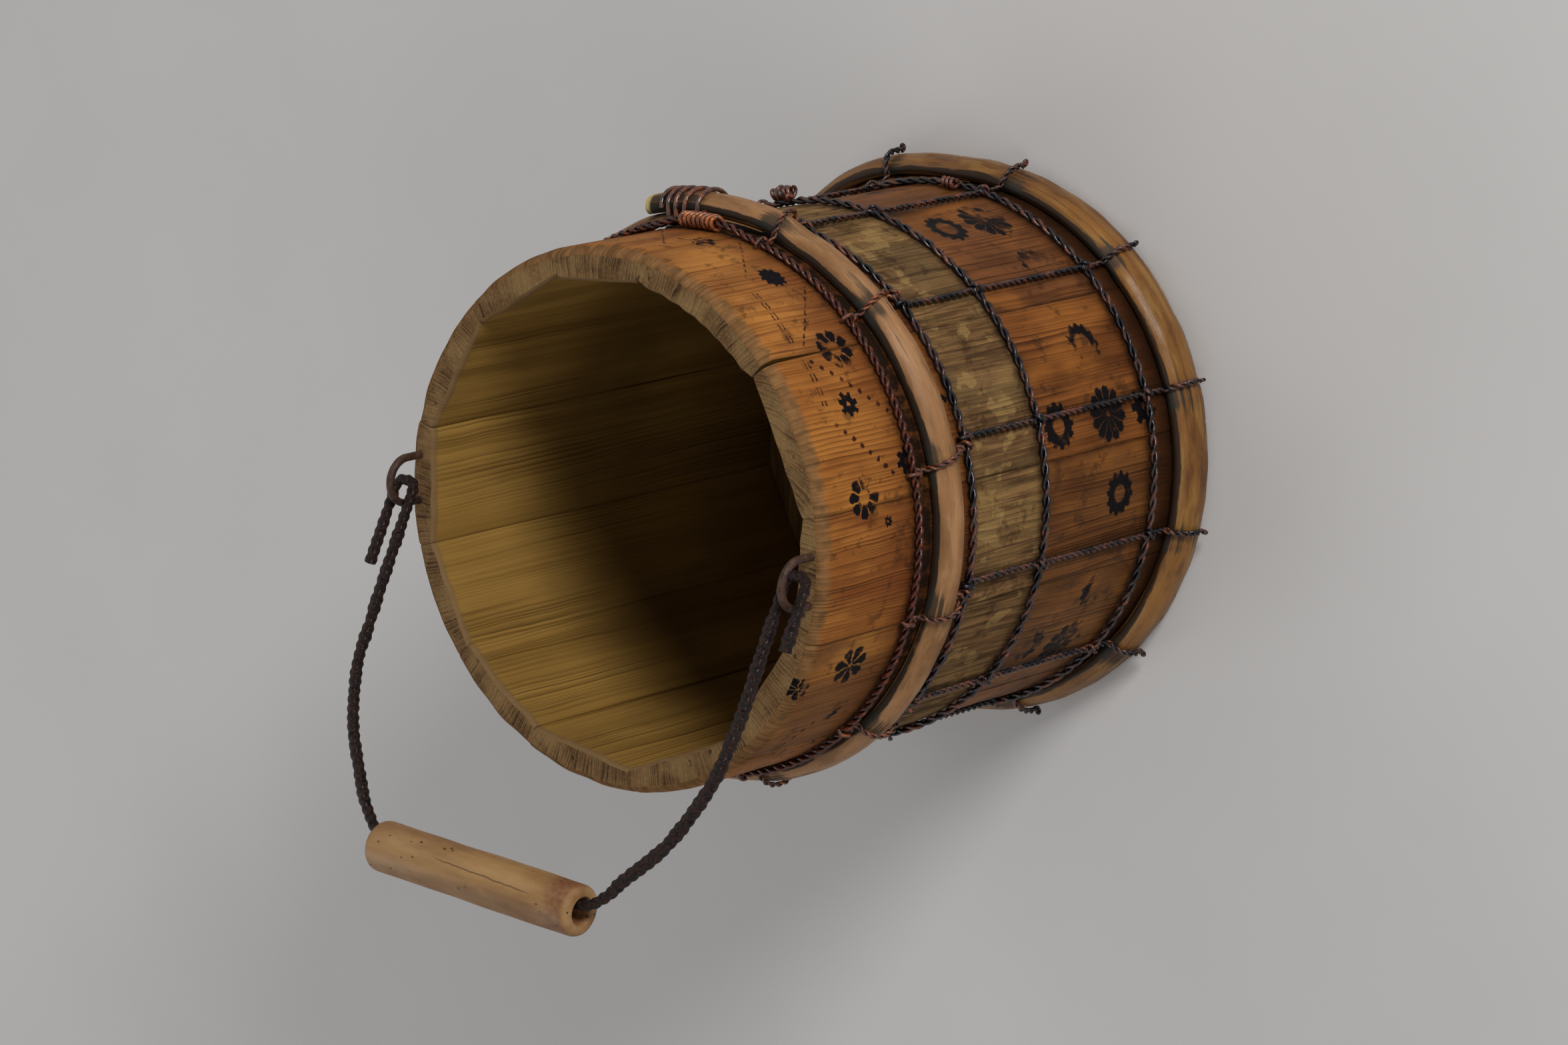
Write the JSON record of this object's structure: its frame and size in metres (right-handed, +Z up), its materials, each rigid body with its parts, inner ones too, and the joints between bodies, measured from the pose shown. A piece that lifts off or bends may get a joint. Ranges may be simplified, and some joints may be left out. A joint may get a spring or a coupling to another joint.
{
  "type": "wooden bucket",
  "caption": "Old coopered wooden bucket bound with split sapling hoops and a net of twisted wire, with a swinging wire bail and a loose wooden grip.",
  "frame": {"origin": "the middle of the foot, on the plane that the bucket stands on", "axes": "+Z up along the bucket's axis towards its mouth; X along the bail's line of swing, with staple_right at +X; -Y the side that the bail leans to at rest"},
  "size_m": [0.277, 0.2939, 0.3605],
  "materials": {
    "stave_pine": "old waxed pine, worn, satin",
    "bottom_pine": "old bare pine, matt",
    "dowel_wood": "bare birch, matt",
    "upper_hoop_wood": "peeled split sapling, satin",
    "lower_hoop_wood": "peeled split sapling, varnished, glossy",
    "dark_wire": "twisted dark iron wire, varnished",
    "brown_wire": "twisted iron wire with brown rust",
    "rusty_wire": "iron wire with orange rust",
    "staple_iron": "dark iron wire, worn smooth",
    "bail_iron": "thick iron wire with coarse dark rust",
    "grip_wood": "turned wood, worn by hands, satin"
  },
  "bodies": {
    "bucket": {"stave_01": "stave_pine", "stave_02": "stave_pine", "stave_03": "stave_pine", "stave_04": "stave_pine", "stave_05": "stave_pine", "stave_06": "stave_pine", "stave_07": "stave_pine", "stave_08": "stave_pine", "stave_09": "stave_pine", "stave_10": "stave_pine", "stave_11": "stave_pine", "stave_12": "stave_pine", "bottom_board_left": "bottom_pine", "bottom_board_middle": "bottom_pine", "bottom_board_right": "bottom_pine", "bottom_dowels": "dowel_wood", "upper_hoop": "upper_hoop_wood", "lower_hoop": "lower_hoop_wood", "rim_wire_ring": "brown_wire", "hoop_wire_ring": "dark_wire", "middle_wire_ring": "dark_wire", "foot_wire_ring": "dark_wire", "lace_wire_01": "dark_wire", "lace_wire_02": "dark_wire", "lace_wire_03": "dark_wire", "lace_wire_04": "dark_wire", "lace_wire_05": "dark_wire", "lace_wire_06": "dark_wire", "lace_wire_07": "dark_wire", "lace_wire_08": "dark_wire", "lace_wire_09": "dark_wire", "lace_wire_10": "dark_wire", "lace_wire_11": "dark_wire", "lace_wire_12": "dark_wire", "hoop_tie_01": "brown_wire", "hoop_tie_02": "brown_wire", "hoop_tie_03": "brown_wire", "hoop_tie_04": "brown_wire", "hoop_tie_05": "brown_wire", "hoop_tie_06": "brown_wire", "hoop_tie_07": "brown_wire", "hoop_tie_08": "brown_wire", "hoop_tie_09": "brown_wire", "hoop_tie_10": "brown_wire", "hoop_tie_11": "brown_wire", "lap_winding": "rusty_wire", "ring_splice_coil": "rusty_wire", "middle_ring_twist": "dark_wire", "foot_ring_twist": "dark_wire", "staple_right": "staple_iron", "staple_left": "staple_iron"},
    "bail": {"bail_wire": "bail_iron"},
    "grip": {"bail_grip": "grip_wood"}
  },
  "joints": [
    {"name": "bail_swing", "type": "hinge", "parent": "bucket", "child": "bail", "pos_m": [0, 0, 0.282], "axis": [1, 0, 0], "range_deg": [-160, 30]},
    {"name": "grip_spin", "type": "hinge", "parent": "bail", "child": "grip", "pos_m": [0, -0.14379, 0.34905], "axis": [1, 0, 0], "continuous": true}
  ]
}
